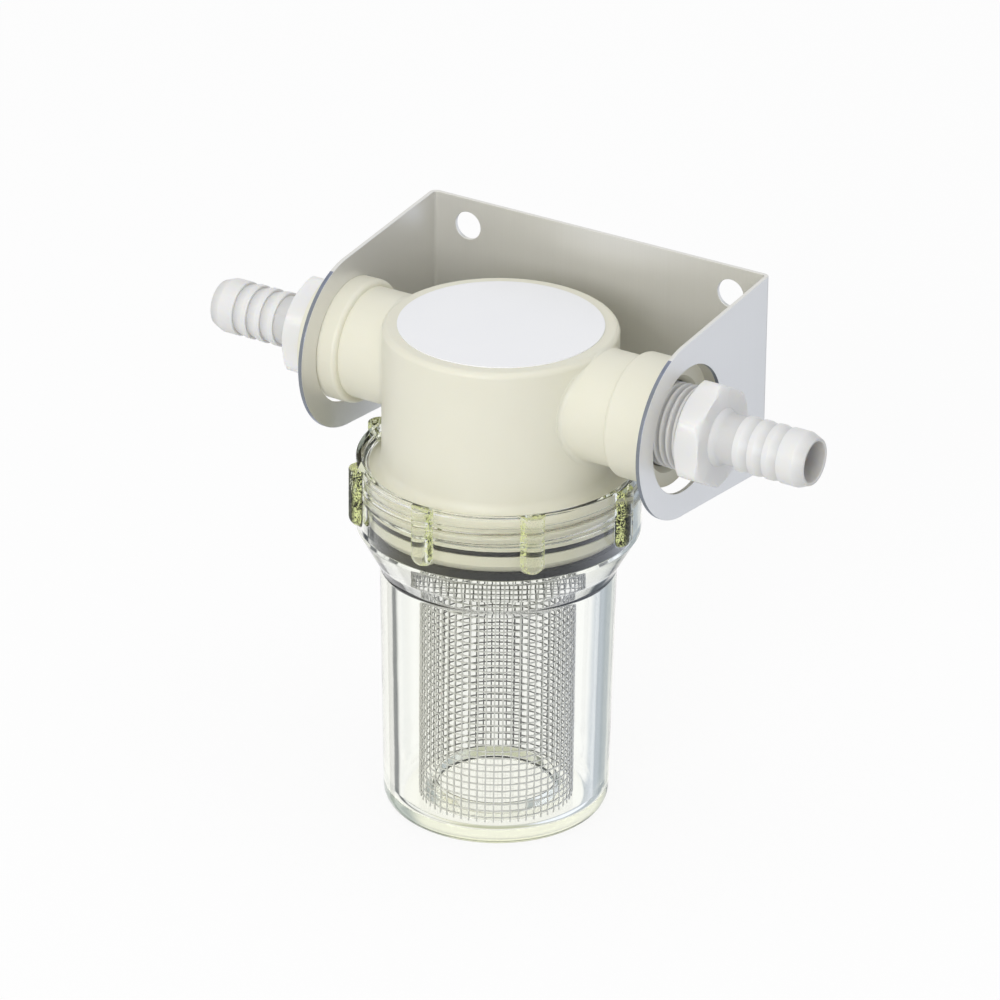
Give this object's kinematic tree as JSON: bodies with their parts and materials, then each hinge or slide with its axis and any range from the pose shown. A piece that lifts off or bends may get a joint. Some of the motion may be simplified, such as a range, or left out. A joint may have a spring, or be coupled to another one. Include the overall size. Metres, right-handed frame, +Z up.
{
  "type": "fresh water strainer",
  "caption": "In-line strainer: cream moulded head with barbed hose ports, clear screw-on bowl round a wire screen, and a folded wall bracket.",
  "frame": {"origin": "midway between the two wall screw holes, on the bracket's back face", "axes": "+X along the ports from the inlet to the outlet, +Y into the wall that the bracket is screwed to, +Z up from the bowl to the head"},
  "size_m": [0.1693, 0.077, 0.1412],
  "materials": {
    "head_nylon": "satin moulded",
    "label_film": "plain white film",
    "bracket_sheet": "fine brushed",
    "fitting_nylon": "satin moulded",
    "seal_rubber": "matt",
    "screen_wire": "drawn wire",
    "clear_bowl": "clear, polished"
  },
  "bodies": {
    "head": {"head": "head_nylon", "label": "label_film", "bracket": "bracket_sheet", "inlet_fitting": "fitting_nylon", "outlet_fitting": "fitting_nylon", "o_ring": "seal_rubber"},
    "insert": {"gasket": "seal_rubber", "screen": "screen_wire"},
    "bowl": {"bowl": "clear_bowl"}
  },
  "joints": [
    {"name": "bowl_drop", "type": "slide", "parent": "head", "child": "insert", "axis": [0, 0, -1], "range_m": [0, 0.008]},
    {"name": "bowl_turn", "type": "hinge", "parent": "insert", "child": "bowl", "pos_m": [-0.0043, -0.0392, -0.06], "axis": [0, 0, -1], "range_deg": [0, 720]}
  ],
  "couplings": [
    {"joint": "bowl_drop", "follows": "bowl_turn", "m_per_rad": 0.00063662}
  ]
}
